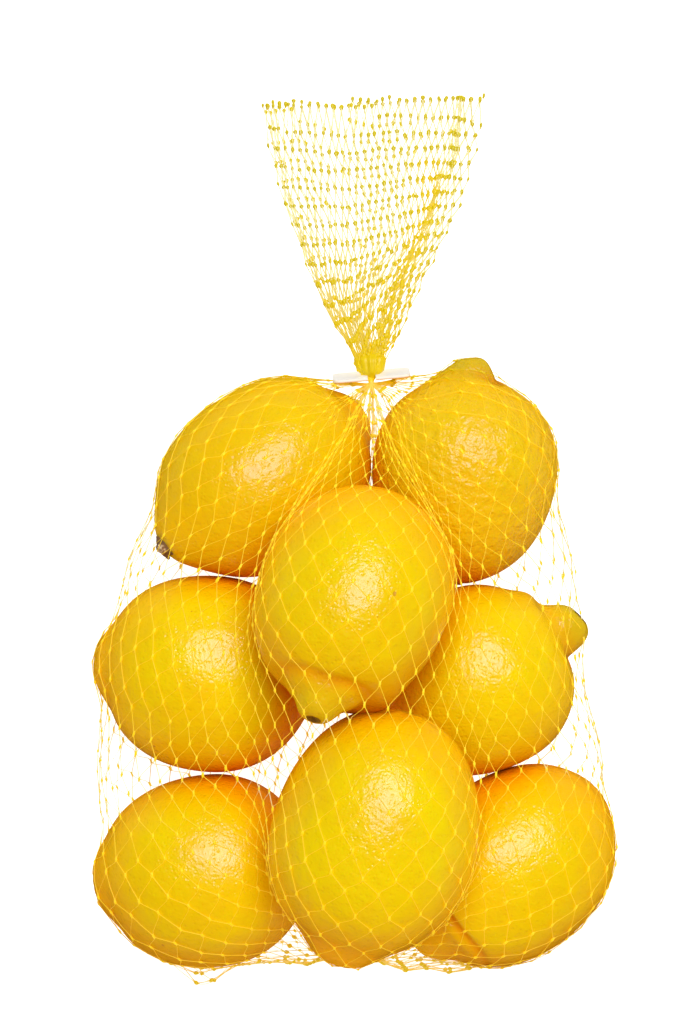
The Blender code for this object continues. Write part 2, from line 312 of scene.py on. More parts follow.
def peel_looks(name, angle, r, furrow, directions, points):
    """What the peel's material reads at each point."""
    peel = PEELS[name]
    normals = grid_normals(points.reshape(PEEL_RINGS, PEEL_SPOKES, 3)).reshape(-1, 3)
    facing_tail, facing_up = (directions.reshape(-1, 3) @ AXES[name].T)[:, 1:].T
    radial, angle = (r * np.sin(angle)).ravel(), angle.ravel()
    nipple_end = np.cos(angle) > 0
    low, foot_side = np.clip((0.8 - facing_up) / 0.55, 0, 1), np.clip(-1.5 * facing_tail - 0.1, 0, 1)
    off_nipple = 1 - np.exp(-((angle / 0.35) ** 4))
    return {
        "nipple": np.exp(-((angle / 0.29) ** 3)) * peel.green,
        "tip": np.clip((peel.tip - radial) / 0.8 + 0.5, 0, 1) * nipple_end,
        "stem": np.clip((5.0 - radial) / 2.5, 0, 1) * ~nipple_end,
        # painted shade in the furrow round the nipple
        "crease": furrow.ravel() * min(0.6 * peel.crease, 1.0),
        # painted orange shade and bounce light beside other lemons
        "close": peel.contact_shade * np.maximum(nearness(points, name), bounce(points, normals, name)),
        "matt": np.full(len(points), peel.matt),
        "uneven": np.full(len(points), 1 + peel.uneven),
        "warm": np.full(len(points), peel.warm),
        "under_shade": peel.under_shade * low * foot_side * off_nipple,
        "limb_shade": LIMB_SHADE * peel.limb_shade * np.clip((0.75 - facing_up) / 0.9, 0, 1),
    }


def lemon(name, material):
    # rings gather towards both ends, where the detail is
    even = np.linspace(0, 1, PEEL_RINGS)
    angle_line = math.pi * (even - 0.09 * np.sin(FULL_TURN * even))
    angle_line[0], angle_line[-1] = 1e-4, math.pi - 1e-4
    angle, turn = np.meshgrid(angle_line, turns(PEEL_SPOKES), indexing="ij")
    directions = np.stack([np.sin(angle) * np.cos(turn), np.sin(angle) * np.sin(turn), np.cos(angle)], -1)
    r, furrow = peel_form(name, angle, turn, directions)
    points = (directions * r[..., None]).reshape(-1, 3) @ AXES[name].T + MIDDLES[name]
    # fruit on the table flattens where it rests
    z = points[:, 2]
    points[:, 2] = np.where(z < FLAT_BELOW, FLAT_BELOW - FLATTENED * (FLAT_BELOW - z), z)
    looks = peel_looks(name, angle, r, furrow, directions, points)
    return mesh_object("lemon_" + name, points, grid_faces(PEEL_RINGS, PEEL_SPOKES), material, looks)


# ------ materials
class Nodes:
    """A short way to write a material's nodes."""

    def __init__(self, name):
        self.material = bpy.data.materials.new(name)
        self.material.use_nodes = True
        self.tree = self.material.node_tree
        self.shader = self.tree.nodes["Principled BSDF"]
        coordinates = self.add("ShaderNodeTexCoord")
        self.where = coordinates.outputs["Object"]
        self.in_box = coordinates.outputs["Generated"]

    def add(self, kind, links=None, **values):
        node = self.tree.nodes.new(kind)
        for key, value in values.items():
            setattr(node, key, value)
        for key, value in (links or {}).items():
            self.set(node.inputs[key], value)
        return node

    def set(self, socket, value):
        if isinstance(value, bpy.types.NodeSocket):
            self.tree.links.new(value, socket)
        else:
            socket.default_value = value

    def base(self, links):
        for key, value in links.items():
            self.set(self.shader.inputs[key], value)

    def attribute(self, name):
        return self.add("ShaderNodeAttribute", attribute_name=name).outputs["Fac"]

    def maths(self, operation, a, b):
        return self.add("ShaderNodeMath", {0: a, 1: b}, operation=operation).outputs[0]

    def times(self, a, b):
        return self.maths("MULTIPLY", a, b)

    def noise(self, scale, detail=2.0, roughness=0.5, where=None):
        links = {"Vector": where or self.where, "Scale": scale, "Detail": detail, "Roughness": roughness}
        return self.add("ShaderNodeTexNoise", links).outputs["Fac"]

    def cells(self, scale):
        links = {"Vector": self.where, "Scale": scale, "Randomness": 1.0}
        return self.add("ShaderNodeTexVoronoi", links).outputs["Distance"]

    def spread(self, value, low, high, to_low=0.0, to_high=1.0):
        links = {"Value": value, "From Min": low, "From Max": high, "To Min": to_low, "To Max": to_high}
        return self.add("ShaderNodeMapRange", links).outputs[0]

    def mix(self, factor, a, b):
        """Colour a where the factor is 0 or less, and b where it is 1 or more."""
        node = self.add("ShaderNodeMix", data_type="RGBA")
        for name, value in (("Factor", factor), ("A", a), ("B", b)):
            self.set(next(s for s in node.inputs if s.name == name and s.enabled), value)
        return next(s for s in node.outputs if s.enabled)

    def bump(self, height, strength, distance, after=None):
        links = {"Height": height, "Strength": strength, "Distance": distance}
        if after is not None:
            links["Normal"] = after
        return self.add("ShaderNodeBump", links).outputs[0]


def colour(red, green, blue):
    return (red, green, blue, 1.0)


PEEL_YELLOW = colour(0.755, 0.53, 0.0002)
PEEL_WARM = colour(0.72, 0.41, 0.0)
PEEL_LEMON = colour(0.755, 0.585, 0.0003)
PEEL_FAIR = colour(0.85, 0.65, 0.001)
# painted shade colour for peel that turns away from above
PEEL_LIMB_SHADE = colour(0.90, 0.31, 0.0)
# painted shade colour for low sides away from the softbox
PEEL_UNDER_SHADE = colour(0.55, 0.20, 0.0)
PEEL_GREEN = colour(0.42, 0.38, 0.010)
# painted shade and bounce light colour beside other lemons
PEEL_CONTACT_SHADE = colour(0.86, 0.20, 0.0)
# painted shade colour for the furrow round the nipple
PEEL_FURROW_SHADE = colour(0.68, 0.16, 0.0)
TIP_BROWN = colour(0.13, 0.06, 0.010)
SPECK_BROWN = colour(0.45, 0.16, 0.01)


def peel_material():
    n = Nodes("peel")
    # pores: small pits about 1.3 mm apart
    pores = n.spread(n.cells(780.0), 0.05, 0.45)
    wide = n.noise(340.0)
    fine = n.noise(1600.0, 3.0, 0.6)
    patches = n.noise(38.0)
    blotch = n.noise(120.0, 3.0, 0.6)
    warm = n.attribute("warm")
    speck = n.maths("LESS_THAN", n.cells(105.0), n.times(n.spread(blotch, 0.5, 0.8), 0.13))
    frayed = n.times(n.noise(900.0, 3.0, 0.55, n.in_box), 0.5)

    yellow = n.mix(n.spread(patches, 0.35, 0.65), PEEL_YELLOW, PEEL_LEMON)
    for share, tint in (
        (n.times(n.spread(blotch, 0.45, 0.75), 0.35), PEEL_WARM),
        (n.times(warm, -1.0), PEEL_FAIR),
        (n.maths("MAXIMUM", warm, 0.0), PEEL_WARM),
        # painted shade on peel that turns away from above
        (n.attribute("limb_shade"), PEEL_LIMB_SHADE),
        # painted shade low down on the side towards the foot, away from the softbox
        (n.attribute("under_shade"), PEEL_UNDER_SHADE),
        # painted shade in the pits of the pores, a little warmer
        (n.times(n.spread(pores, 0.6, 0.0), 0.15), PEEL_WARM),
        # painted orange shade and bounce light beside other lemons
        (n.times(n.attribute("close"), 0.88), PEEL_CONTACT_SHADE),
        # painted shade in the furrow round the nipple
        (n.times(n.attribute("crease"), 0.85), PEEL_FURROW_SHADE),
        (n.times(n.attribute("nipple"), n.spread(patches, 0.3, 0.6, 0.5, 1.0)), PEEL_GREEN),
        (n.times(speck, 0.6), SPECK_BROWN),
        (n.times(n.attribute("stem"), 0.5), PEEL_GREEN),
        (n.spread(n.maths("ADD", n.attribute("tip"), frayed), 0.5, 0.95), TIP_BROWN),
    ):
        yellow = n.mix(share, yellow, tint)

    relief = n.bump(n.times(wide, n.attribute("uneven")), 0.42, 0.0010)
    relief = n.bump(pores, 0.30, 0.0004, relief)
    relief = n.bump(fine, 0.15, 0.0003, relief)
    n.base({
        "Base Color": yellow,
        "Roughness": n.maths("ADD", n.spread(blotch, 0.3, 0.7, 0.17, 0.23), n.attribute("matt")),
        "Specular IOR Level": 0.58,
        "Specular Tint": colour(0.50, 0.50, 0.78),
        "Subsurface Weight": 0.18,
        "Subsurface Radius": (1.0, 0.42, 0.05),
        "Subsurface Scale": 0.003,
        "Normal": relief,
    })
    return n.material


# The yarn has a painted glow, so it is never dark: it stands in for light through thin milky yarn from all
# sides, and through the clip.
GLOW = 0.5
OWN_GLOW = 0.22  # the painted glow a strand gives off of its own colour
GATHERED_YARN = colour(0.60, 0.43, 0.001)
# painted light through the yarn: the white table's light in the open, the lemon's yellow over fruit
STRAND_OPEN = colour(0.68, 0.62, 0.32)
STRANDS_LIT_BY_FRUIT = colour(0.76, 0.55, 0.020), colour(0.75, 0.51, 0.014)
BEHIND_CLIP_GLOW = colour(0.95, 0.56, 0.0)
KNOTS_OPEN = colour(0.51, 0.42, 0.008), colour(0.46, 0.375, 0.005)
KNOT_LIT_BY_FRUIT = colour(0.78, 0.58, 0.012)
# the painted glow a knot gives off over the bare table, in the tail, on fruit, and where the net is gathered
OPEN_GLOW, TAIL_GLOW = colour(0.78, 0.60, 0.05), colour(0.213, 0.174, 0.003)
FRUIT_GLOW, GATHERED_GLOW = colour(0.343, 0.255, 0.005), colour(0.264, 0.189, 0.0004)


def yarn_colour(n, in_the_open, lit_by_fruit):
    # painted light: white from the table in the open, yellow from the lemon below over fruit
    yarn = n.mix(n.attribute("over_fruit"), in_the_open, lit_by_fruit)
    return n.mix(n.attribute("gathered"), yarn, GATHERED_YARN)


def yarn_surface(n, yarn, glow, roughness, grain, relief):
    n.base({
        "Base Color": yarn,
        "Emission Color": glow,
        "Emission Strength": GLOW,
        "Specular IOR Level": 0.3,
        "Roughness": n.spread(n.noise(2500.0), 0.3, 0.7, *roughness),
        "Normal": n.bump(n.noise(grain), relief, 0.0001),
    })


def strand_material():
    n = Nodes("net_strand")
    yarn = yarn_colour(n, STRAND_OPEN, n.mix(n.noise(300.0), *STRANDS_LIT_BY_FRUIT))
    # painted glow: a share of the yarn's own colour, brighter behind the clip
    glow = n.mix(1 - OWN_GLOW / GLOW, yarn, colour(0.0, 0.0, 0.0))
    glow = n.mix(n.attribute("behind_clip"), glow, BEHIND_CLIP_GLOW)
    yarn_surface(n, yarn, glow, (0.28, 0.4), 3500.0, 0.2)
    return n.material


def knot_material():
    n = Nodes("net_knot")
    yarn = yarn_colour(n, n.mix(n.noise(260.0), *KNOTS_OPEN), KNOT_LIT_BY_FRUIT)
    glow = n.mix(n.attribute("dim"), OPEN_GLOW, TAIL_GLOW)
    glow = n.mix(n.attribute("over_fruit"), glow, FRUIT_GLOW)
    glow = n.mix(n.attribute("gathered"), glow, GATHERED_GLOW)
    yarn_surface(n, yarn, glow, (0.3, 0.42), 3000.0, 0.3)
    n.base({"Subsurface Weight": 0.2, "Subsurface Radius": (1.0, 0.7, 0.1), "Subsurface Scale": 0.001})
    return n.material


# painted shade and orange reflected light on the clip's face towards the fruit
CLIP_FRUIT_SIDE_SHADE = colour(0.66, 0.28, 0.02)
CLIP_MILKY = colour(0.89, 0.875, 0.84), colour(0.85, 0.83, 0.79)
CLIP_LEAN, CLIP_TURN = math.radians(11), math.radians(5)
CLIP_FRUIT_FACE = -0.45  # from the plate's middle to just inside its face towards the fruit


def out_of_clip(n):
    """How far a point lies from the middle of the clip's plate towards the tail, in millimetres."""
    across = Vector((math.cos(CLIP_TURN), math.sin(CLIP_TURN), 0.0))
    depth = Vector((0.0, -math.sin(CLIP_LEAN), math.cos(CLIP_LEAN)))
    depth = (depth - across * depth.dot(across)).normalized()
    out = depth.cross(across)
    along = n.add("ShaderNodeVectorMath", {0: n.where, 1: out}, operation="DOT_PRODUCT").outputs["Value"]
    middle = Vector(place(CLIP_MIDDLE)).dot(out)
    return n.times(n.maths("SUBTRACT", along, middle), 1 / MM)


def clip_material():
    n = Nodes("clip_plastic")
    milky = n.mix(n.noise(120.0, 3.0, 0.55), *CLIP_MILKY)
    # its face towards the fruit is painted with shade and the fruit's orange reflected light
    tail_side = n.spread(out_of_clip(n), CLIP_FRUIT_FACE, 0.0)
    n.base({
        "Base Color": n.mix(tail_side, CLIP_FRUIT_SIDE_SHADE, milky),
        "Roughness": n.spread(n.noise(90.0), 0.3, 0.7, 0.36, 0.42),
        "Specular IOR Level": 0.3,
    })
    return n.material


def stem_material():
    n = Nodes("stem_end")
    grain = n.noise(1500.0, 4.0, 0.65)
    brown = n.mix(grain, colour(0.10, 0.040, 0.010), colour(0.24, 0.12, 0.035))
    pale = n.mix(n.spread(grain, 0.42, 0.58), colour(0.80, 0.62, 0.36), colour(0.20, 0.09, 0.03))
    n.base({
        "Base Color": n.mix(n.spread(n.attribute("ring"), 0.35, 0.6), pale, brown),
        "Roughness": n.spread(grain, 0.2, 0.8, 0.6, 0.85),
        "Normal": n.bump(grain, 0.7, 0.0004),
    })
    return n.material


def table_material():
    n = Nodes("white_table")
    n.base({
        "Base Color": n.mix(n.noise(3.0), colour(0.56, 0.56, 0.56), colour(0.54, 0.54, 0.54)),
        "Roughness": n.spread(n.noise(60.0, 3.0), 0.3, 0.7, 0.6, 0.7),
        "Emission Color": colour(1.0, 1.0, 1.0),
        "Emission Strength": 1.0,
    })
    return n.material


# ------ stem ends
STEM_RADIUS, STEM_RINGS, STEM_SPOKES = 3.6, 14, 40
STEM_SUNK = 0.75  # how far the calyx sits below the fruit's end
STEM_LEANS = {"top_left": math.radians(24)}  # how far a stem looks up from the fruit's own axis
LEAN_UP, LEAN_OUT = 2.0, 1.2  # how far a stem moves with its lean
BARE_ENDS = ("bottom_right", "bottom_front")  # their stem ends are out of sight and taken as bare


def stem_end(name):
    """The calyx and cut stem of one lemon: points, faces, and how far out each point lies, 0 to 1."""
    fruit = LEMONS[name]
    lean = STEM_LEANS.get(name, 0.0)
    share, turn = np.meshgrid(np.linspace(0.0, 1.0, STEM_RINGS), turns(STEM_SPOKES), indexing="ij")
    share[0] = 0.001
    lobes = 1 + 0.16 * np.cos(5 * turn + 0.5) + 0.05 * np.cos(9 * turn)
    out = STEM_RADIUS * share * (1 + (lobes - 1) * share)
    dish = fruit.tail + fruit.scar - STEM_SUNK
    # the cut stem with its hollow, on the calyx that falls off outwards
    height = 1.5 * np.exp(-((share / 0.45) ** 4)) - 0.5 * np.exp(-((share / 0.22) ** 2))
    height += 0.55 * (1 - share**3)
    height += 0.12 * np.cos(12 * turn) * share
    down = dish - 0.12 * out**2 / 4 + height - 0.5
    local = np.stack([out * np.cos(turn), out * np.sin(turn), -down], -1).reshape(-1, 3)
    up, back = local[:, 1].copy(), local[:, 2] + dish
    local[:, 1] = up * math.cos(lean) - back * math.sin(lean) + LEAN_UP * math.sin(lean)
    local[:, 2] = up * math.sin(lean) + back * math.cos(lean) - dish - LEAN_OUT * math.sin(lean)
    points = local @ AXES[name].T + MIDDLES[name]
    return points, grid_faces(STEM_RINGS, STEM_SPOKES)[:, ::-1], np.clip(share.ravel() * 2.2 - 0.5, 0, 1)


def stem_ends(material):
    points, faces, rings = zip(*(stem_end(name) for name in LEMONS if name not in BARE_ENDS))
    faces = [end + i * len(points[0]) for i, end in enumerate(faces)]
    looks = {"ring": np.concatenate(rings)}
    return mesh_object("stem_ends", np.concatenate(points), np.concatenate(faces), material, looks)


# ------ the net drawn over the fruit
NECK = np.array([9.2, 40.0, 24.0])
FOOT = np.array([5.0, -139.0, 14.0])
WAIST, POLE_GAP = 0.52, 0.06  # the first guess's middle, from neck to foot, and the angle free at its ends
KNOTS_ROUND = 62
BODY_ROWS = 44
TAUT_LEG, SLACK_LEG = 6.9, 6.4  # the most between two knots along pulled strands, and along the others
OVER_PEEL, STRAND_OVER_PEEL = 0.45, 0.25
TABLE_CLEARANCE, STRAND_CLEARANCE = 0.25, 0.2
NECK_HALF_WIDTH, NECK_HALF_DEPTH, FOOT_RADIUS = 0.5, 3.0, 2.0
PULL_TAUT, PULL_LENGTHWISE, PULL_ALL_ROUND, WEIGHT = 0.20, 0.05, 0.01, 0.006
NET_ROUNDS = 2000
FAR_OFF = 100.0


def hold_off_peel(points, gap):
    """Moves the points that are inside a lemon, or nearer its peel than gap, straight out of it."""
    for name, fruit in LEMONS.items():
        away = points - MIDDLES[name]
        far = np.linalg.norm(away, axis=1)
        near = np.where(far < max(fruit.nose + fruit.nipple, fruit.tail + fruit.scar) + gap + 2)[0]
        local, far = away[near] @ AXES[name], far[near]
        angle = np.arccos(np.clip(local[:, 2] / far, -1, 1))
        turn = np.arctan2(local[:, 1], local[:, 0])
        wanted = reach(angle, fruit) + knob_and_shoulder(angle, turn, PEELS[name]) + gap
        wanted += lumps(local / far[:, None], SEEDS[name])
        inside = wanted > far
        if not inside.any():
            continue
        near, angle, far, wanted, local = (each[inside] for each in (near, angle, far, wanted, local))
        step = 1e-3
        slope = (reach(angle + step, fruit) - reach(angle - step, fruit)) / (2 * step)
        sideways = unit(local * [1.0, 1.0, 0.0])
        tangent = sideways * np.cos(angle)[:, None] - [0.0, 0.0, 1.0] * np.sin(angle)[:, None]
        normal = local / far[:, None] - (slope / far)[:, None] * tangent
        steep = np.linalg.norm(normal, axis=1)
        move = normal * ((wanted - far) / steep**2)[:, None]
        points[near] += move @ AXES[name].T


def cad_surface():
    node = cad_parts["lemon_net"]
    vertices = [v.co / MM + Vector(SHIFT) for v in node.data.vertices]
    return BVHTree.FromPolygons(vertices, [tuple(p.vertices) for p in node.data.polygons])


def first_guess():
    """Knots spread over the filled net's solid, from the neck to the foot."""
    surface = cad_surface()
    centre = NECK + WAIST * (FOOT - NECK)
    pole = (NECK - centre) / np.linalg.norm(NECK - centre)
    east = np.cross(pole, [0.0, 0.0, 1.0])
    east /= np.linalg.norm(east)
    up = np.cross(east, pole)

    def shoot(direction):
        hit = surface.ray_cast(Vector(centre + direction * 250), Vector(-direction))[0]
        return 60.0 if hit is None else np.linalg.norm(np.array(hit) - centre)

    # columns stand at even distances round the net's waist, not at even angles
    fine = np.linspace(0, FULL_TURN, 361)
    waist = np.cos(fine)[:, None] * east + np.sin(fine)[:, None] * up
    waist = waist * np.array([shoot(d) for d in waist])[:, None]
    along = np.concatenate([[0], np.cumsum(np.linalg.norm(np.diff(waist, axis=0), axis=1))])
    knots = np.zeros((BODY_ROWS + 1, KNOTS_ROUND, 3))
    for row in range(BODY_ROWS + 1):
        polar = POLE_GAP + (math.pi - 2 * POLE_GAP) * row / BODY_ROWS
        share = (np.arange(KNOTS_ROUND) + 0.5 * (row % 2)) / KNOTS_ROUND
        turn = np.interp(share % 1.0, along / along[-1], fine)
        for i, t in enumerate(turn):
            direction = math.cos(polar) * pole + math.sin(polar) * (math.cos(t) * east + math.sin(t) * up)
            knots[row, i] = centre + direction * (shoot(direction) + 1.0)
    turn = turns(KNOTS_ROUND)
    knots[0] = NECK + np.stack([NECK_HALF_WIDTH * np.cos(turn), 0 * turn, NECK_HALF_DEPTH * np.sin(turn)], 1)
    turn = (np.arange(KNOTS_ROUND) + 0.5 * (BODY_ROWS % 2)) / KNOTS_ROUND * FULL_TURN
    knots[-1] = FOOT + FOOT_RADIUS * (np.cos(turn)[:, None] * east + np.sin(turn)[:, None] * up)
    return knots


def strand_ends(rows):
    """(upper knots, lower knots, taut) of the strands, in groups where no knot comes twice.

    One family of strands leans to +X on its way down the front and takes the pull. The other is slack.
    """
    index = np.arange(rows * KNOTS_ROUND).reshape(rows, KNOTS_ROUND)
    groups = []
    for odd in (0, 1):
        upper, lower = index[odd : rows - 1 : 2], index[odd + 1 : rows : 2]
        turned = np.roll(lower, -1 if odd else 1, axis=1)
        groups.append((upper.ravel(), lower.ravel(), bool(odd)))
        groups.append((upper.ravel(), turned.ravel(), not odd))
    return groups


def drawn_net():
    """Lets the net settle, pulled in by its strands and held out by peel and table."""
    knots = first_guess()
    groups = strand_ends(BODY_ROWS + 1)
    flat = knots.reshape(-1, 3)
    ends = flat[:KNOTS_ROUND].copy(), flat[-KNOTS_ROUND:].copy()
    free = np.ones(len(flat))
    free[:KNOTS_ROUND] = free[-KNOTS_ROUND:] = 0
    degree = np.zeros(len(flat))
    above, below = np.arange(len(flat)), np.arange(len(flat))
    for a, b, taut in groups:
        degree[a] += 1
        degree[b] += 1
        if taut:
            below[a], above[b] = b, a
    for _ in range(NET_ROUNDS):
        near = np.zeros_like(flat)
        for a, b, _taut in groups:
            near[a] += flat[b]
            near[b] += flat[a]
        flat += (near / degree[:, None] - flat) * (PULL_ALL_ROUND * free)[:, None]
        knots[2:-2] += PULL_LENGTHWISE * ((knots[4:] + knots[:-4]) / 2 - knots[2:-2])
        flat += ((flat[above] + flat[below]) / 2 - flat) * (PULL_TAUT * free)[:, None]
        flat[:, 2] -= WEIGHT * free
        for a, b, taut in groups:
            apart = flat[b] - flat[a]
            long = np.linalg.norm(apart, axis=1)
            excess = np.maximum(long - (TAUT_LEG if taut else SLACK_LEG), 0) / np.maximum(long, 1e-9)
            excess /= np.maximum(free[a] + free[b], 1)
            flat[a] += apart * (excess * free[a])[:, None]
            flat[b] -= apart * (excess * free[b])[:, None]
        hold_off_peel(flat, OVER_PEEL)
        flat[:, 2] = np.maximum(flat[:, 2], TABLE_CLEARANCE)
        flat[:KNOTS_ROUND], flat[-KNOTS_ROUND:] = ends
    return knots


SIDE_SLACK = 3.6  # how far free net stands out at the sides
SIDE_FROM, SIDE_RISE = 36.0, 10.0  # how far from the middle that begins, and over what width it grows
# x, width and reach of each
FOOT_FOLDS = ((-43.0, 10.0, 12.0), (-12.0, 7.0, 3.0), (20.0, 8.0, 5.0), (36.0, 9.0, 7.0))


def slackened(knots):
    """Free net hangs loose in the hollows at the sides, and in shallow folds on the table at the foot."""
    flat = knots.reshape(-1, 3)
    gap = np.full(len(flat), FAR_OFF)
    for name in LEMONS:
        gap = np.minimum(gap, height_over(flat, name))
    free = 1 - np.exp(-np.maximum(gap - 1.0, 0) / 4.0)
    out = flat[:, 0] - NECK[0]
    flat[:, 0] += SIDE_SLACK * free * np.clip((np.abs(out) - SIDE_FROM) / SIDE_RISE, 0, 1) * np.sign(out)
    low = np.clip((-flat[:, 1] - 124.0) / 10.0, 0, 1) * np.clip((26.0 - flat[:, 2]) / 12.0, 0, 1)
    for fold_x, width, fold_reach in FOOT_FOLDS:
        flat[:, 1] -= fold_reach * low * np.exp(-(((flat[:, 0] - fold_x) / width) ** 2))
    hold_off_peel(flat, OVER_PEEL)
    flat[:, 2] = np.maximum(flat[:, 2], TABLE_CLEARANCE)
    return knots


# how far the columns of a bundle are drawn together in each row
BUNDLED_ROWS = (0.60, 0.55, 0.45, 0.35, 0.25, 0.15, 0.05)
BUNDLE_SEED = 12


def bundled(knots):
    """Below the clip the strands leave the neck in uneven bundles, with gaps between them."""
    chance = np.random.default_rng(BUNDLE_SEED)
    start = 0
    while start < KNOTS_ROUND:
        end = min(start + chance.integers(2, 7), KNOTS_ROUND)
        for row, drawn in enumerate(BUNDLED_ROWS, 1):
            members = knots[row, start:end]
            members += drawn * (members.mean(axis=0) - members)
        start = end
    hold_off_peel(knots[: len(BUNDLED_ROWS) + 1].reshape(-1, 3), OVER_PEEL)
    return knots


# ------ the tail above the clip
TAIL_SECTIONS = np.array([  # height, half width, half depth, middle x
    (40.6, 0.5, 3.0, 9.2),
    (41.8, 0.5, 3.0, 9.2),
    (42.5, 2.6, 3.3, 9.2),
    (44.0, 3.7, 3.8, 9.1),
    (46.8, 4.2, 3.9, 8.9),
    (49.0, 4.6, 3.7, 9.0),
    (51.0, 6.4, 3.4, 9.1),
    (53.0, 8.2, 3.0, 9.1),
    (57.0, 10.2, 2.6, 8.7),
    (63.0, 13.0, 2.2, 8.3),
    (73.0, 17.6, 1.9, 8.4),
    (84.0, 22.2, 1.7, 9.1),
    (98.0, 28.2, 1.5, 9.9),
    (115.0, 32.8, 1.3, 10.1),
    (131.0, 35.2, 1.2, 10.1),
])
TAIL_ROWS = 20
TAIL_SEED = 5
TAIL_TOP_LEFT, TAIL_TOP_RIGHT = 128.9, 132.0  # the cut edge, which crosses the upper two rows
TAIL_PITCH_LEFT, TAIL_PITCH_RIGHT = 6.5, 4.5
ROWS_CUT_LEFT = 2
TAIL_DROOP_FROM, TAIL_DROOP_TO = 50.0, 131.0
TAIL_LOW = 1.2  # height of the hollows between its ruffles
ROW_SAG = 1.3
SCATTER_LENGTHWISE, SCATTER_ACROSS = 0.32, 0.22
RUFFLE_HEIGHT, RUFFLE_WAVES = 1.7, 2.6
BUNCH_LOW, BUNCH_HIGH = 43.4, 48.0
BUNCH_LEAN = math.tan(CLIP_LEAN)
LEAN_FULL, LEAN_GONE = 43.0, 50.0  # heights between which the bunch stops leaning with the clip
# Where these shares of the columns stand, as shares of the width, at three heights. From the middle
# downwards the tail doubles back in a fold on the right.
FOLD_COLUMNS = (0.0, 0.08, 0.56, 0.76, 0.84, 0.93, 1.0)
FOLDS = {
    56.0: (0.0, 0.05, 0.48, 0.84, 0.62, 0.87, 1.0),
    82.0: (0.0, 0.045, 0.68, 0.90, 0.79, 0.92, 1.0),
    112.0: (0.0, 0.055, 0.575, 0.80, 0.875, 0.91, 1.0),
}


def tail_section(y):
    """Half width, half depth and middle x of the tail and its bunch at a height."""
    heights, *measures = TAIL_SECTIONS.T
    return [np.interp(y, heights, measure) for measure in measures]


def folded(columns, y):
    """Share of the width, for shares of the columns at a height."""
    heights = np.array(list(FOLDS))
    places = np.array([np.interp(columns, FOLD_COLUMNS, places) for places in FOLDS.values()])
    upper = np.clip(np.searchsorted(heights, y), 1, len(heights) - 1)
    t = np.clip((y - heights[upper - 1]) / (heights[upper] - heights[upper - 1]), 0, 1)
    each = np.arange(len(columns))
    return places[upper - 1, each] * (1 - t) + places[upper, each] * t


def lean(y, z):
    """Heights of the bunch, leant as the clip is."""
    return y - (z - NECK[2]) * BUNCH_LEAN * np.clip((LEAN_GONE - y) / (LEAN_GONE - LEAN_FULL), 0, 1)


def tail_knots():
    """Rows of knots in both layers, from the free edge down to the neck, and which of them exist."""
    chance = np.random.default_rng(TAIL_SEED)
    knots = np.zeros((TAIL_ROWS, KNOTS_ROUND, 3))
    there = np.zeros((TAIL_ROWS, KNOTS_ROUND), bool)
    low = TAIL_LOW + RUFFLE_HEIGHT
    for row in range(TAIL_ROWS):
        phase = (np.arange(KNOTS_ROUND) + 0.5 * (row % 2)) / KNOTS_ROUND % 1.0
        front = phase < 0.5
        column = np.where(front, 1 - 2 * phase, 2 * phase - 1)
        pitch = TAIL_PITCH_LEFT + (TAIL_PITCH_RIGHT - TAIL_PITCH_LEFT) * column
        edge = TAIL_TOP_LEFT + (TAIL_TOP_RIGHT - TAIL_TOP_LEFT) * column
        y = edge - pitch * (row - ROWS_CUT_LEFT * (1 - column))
        # the rows of the two layers wave apart and cross
        sag = ROW_SAG * np.sin(FULL_TURN * column)
        apart = 0.5 * pitch * np.sin(FULL_TURN * column / 0.7 + 0.12 * row)
        apart *= np.sin(math.pi * column) ** 0.5
        y += np.where(front, -sag, apart)
        there[row] = y < edge + 0.4
        # the uppermost knots keep close to the cut edge
        y += np.where(y > edge - pitch, 0.65 * np.clip(edge - y, 0, pitch), 0)
        y += chance.normal(0, SCATTER_LENGTHWISE, KNOTS_ROUND)
        crowded = (BUNCH_HIGH - BUNCH_LOW) * chance.random(KNOTS_ROUND) * (1 - 0.6 * row / TAIL_ROWS)
        y = np.maximum(y, BUNCH_LOW + crowded)
        across = folded(column, y)
        half_width, half_depth, middle_x = tail_section(y)
        x = middle_x + half_width * (2 * across - 1) + chance.normal(0, SCATTER_ACROSS, KNOTS_ROUND)
        t = np.clip((y - TAIL_DROOP_FROM) / (TAIL_DROOP_TO - TAIL_DROOP_FROM), 0, 1)
        z = low + (NECK[2] - low) * (1 + np.cos(math.pi * t)) / 2
        z += RUFFLE_HEIGHT * t * np.sin(RUFFLE_WAVES * math.pi * (2 * across - 1) + 0.6)
        rounded = np.sqrt(np.clip(1 - (2 * across - 1) ** 2, 0, 1)) ** 0.7
        z += np.where(front, 1, -1) * half_depth * rounded * 0.8
        knots[row] = np.stack([x, lean(y, z), np.maximum(z, 0.5)], 1)
    return knots, there


# ------ strands and knots as meshes
STRAND_SIDES, KNOT_SIDES = 4, 6
STRAND_STEPS = np.array([0.0, 0.22, 0.5, 0.78, 1.0])
STRAND_RADII = np.array([0.20, 0.12, 0.11, 0.13, 0.25])
TAUT_THICK, SLACK_THICK = 1.12, 0.7
TAIL_STRAND = 1.45  # thickness of the tail's strands where nothing stretches them, against the body's
TAUT_LEAD, SLACK_LEAD = 0.7, 2.4  # how far a strand follows the net's length as it leaves a knot
BODY_KNOT = np.array([0.45, 0.36, 0.88])  # half width, depth and length
TAIL_KNOT = np.array([0.68, 0.42, 0.98])
FREE_KNOT = 0.95  # size of a knot in the open, against one pressed on a lemon
FOOT_KNOT = 0.8  # how much thicker knots look where the net bunches at the foot
LEAST_OVER_FRUIT = 0.15  # painted yellow light from the fruit that every knot of the body takes on
KNOT_HEIGHTS = np.array([-1.0, -0.55, 0.0, 0.55, 1.0])
SPINDLE = (0.12, 0.74, 1.0, 0.74, 0.12)  # widths along a knot under pull
